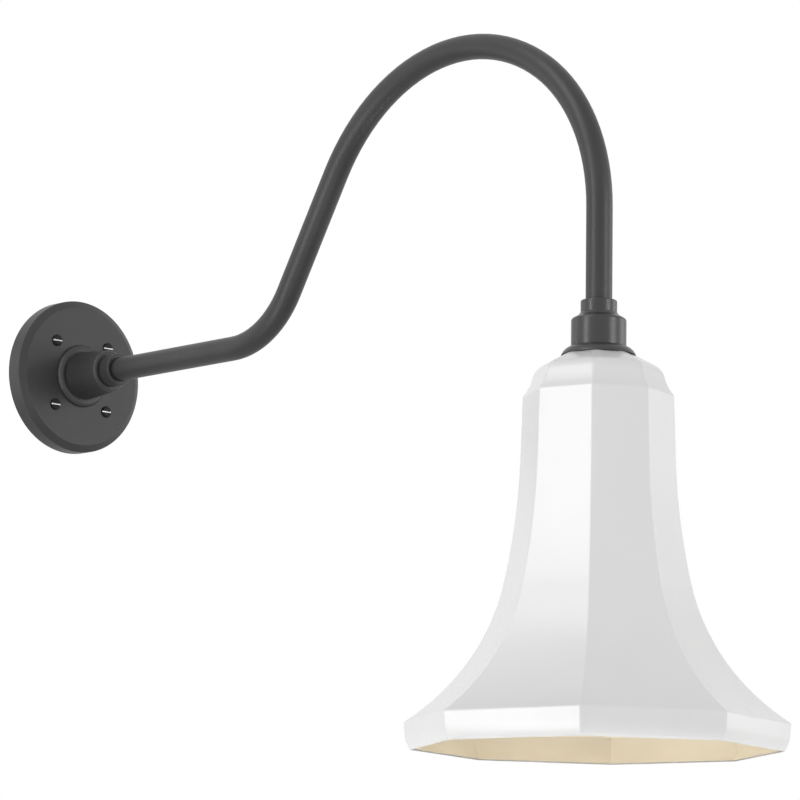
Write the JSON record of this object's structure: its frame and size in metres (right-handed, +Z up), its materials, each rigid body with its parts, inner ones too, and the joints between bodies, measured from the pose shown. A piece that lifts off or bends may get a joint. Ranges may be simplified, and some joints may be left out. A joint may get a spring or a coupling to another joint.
{
  "type": "gooseneck wall light",
  "caption": "Wall light on a bent tube arm: round wall plate, stepped hub, arch and octagonal bell shade with a screw lampholder; arm and shade turn for setting.",
  "frame": {"origin": "on the wall plane, at the centre of the wall plate and of its screws, on the hub's axis", "axes": "+Z up, +Y into the wall, the light stands out towards -Y with its arm in the plane X = 0"},
  "size_m": [0.3026, 0.8509, 0.6046],
  "materials": {
    "charcoal_coat": "matte powder coat with a fine grain",
    "white_enamel": "gloss white outside, cream inside",
    "dark_screws": "darkened steel, bright in the slots",
    "zinc_steel": "zinc plated",
    "soft_black": "matte",
    "moulded_black": "matte",
    "moulded_white": "matte",
    "brown_sleeve": "satin",
    "blue_sleeve": "satin",
    "green_sleeve": "satin",
    "porcelain": "white glaze",
    "brass": "bright",
    "spring_steel": "plain"
  },
  "bodies": {
    "wall_mount": {"wall_plate": "charcoal_coat", "wall_gasket": "soft_black", "plate_screws": "dark_screws", "wall_hub": "charcoal_coat", "hub_lock_nut": "zinc_steel", "hub_collar": "charcoal_coat", "hub_seal": "soft_black", "hub_set_screw": "zinc_steel", "terminal_block": "moulded_white", "block_screws": "zinc_steel", "clamp_screws": "zinc_steel", "earth_screw": "zinc_steel", "earth_terminal": "brass", "earth_lead": "green_sleeve", "supply_live_lead": "brown_sleeve", "supply_neutral_lead": "blue_sleeve"},
    "arm": {"arm_tube": "charcoal_coat", "arm_wall_nut": "zinc_steel", "arm_shade_nut": "zinc_steel", "cable_bushes": "moulded_black", "supply_flex": "moulded_black"},
    "shade_head": {"shade_coupling": "charcoal_coat", "coupling_collar": "charcoal_coat", "coupling_seal": "soft_black", "coupling_set_screw": "zinc_steel", "shade_stem": "zinc_steel", "shade_cap": "charcoal_coat", "cap_gasket": "soft_black", "shade": "white_enamel", "shade_washer": "zinc_steel", "shade_nut": "zinc_steel", "lampholder_cap": "zinc_steel", "lampholder_body": "porcelain", "lampholder_screws": "zinc_steel", "screw_shell": "brass", "shell_rivets": "brass", "terminal_posts": "brass", "post_screws": "zinc_steel", "contact_strap": "brass", "contact_spring": "spring_steel", "lamp_live_lead": "brown_sleeve", "lamp_neutral_lead": "blue_sleeve"},
    "contact": {"centre_contact": "brass"}
  },
  "joints": [
    {"name": "arm_swivel", "type": "hinge", "parent": "wall_mount", "child": "arm", "pos_m": [0, 0, 0], "axis": [0, 1, 0], "range_deg": [-90, 90]},
    {"name": "shade_turn", "type": "hinge", "parent": "arm", "child": "shade_head", "pos_m": [0, -0.6776, 0], "axis": [0, 0, 1], "range_deg": [-180, 180]},
    {"name": "contact_press", "type": "slide", "parent": "shade_head", "child": "contact", "axis": [0, 0, 1], "range_m": [0, 0.003], "stiffness_N_per_m": 600, "springref_m": -0.002, "deforming": ["contact_spring"]}
  ]
}
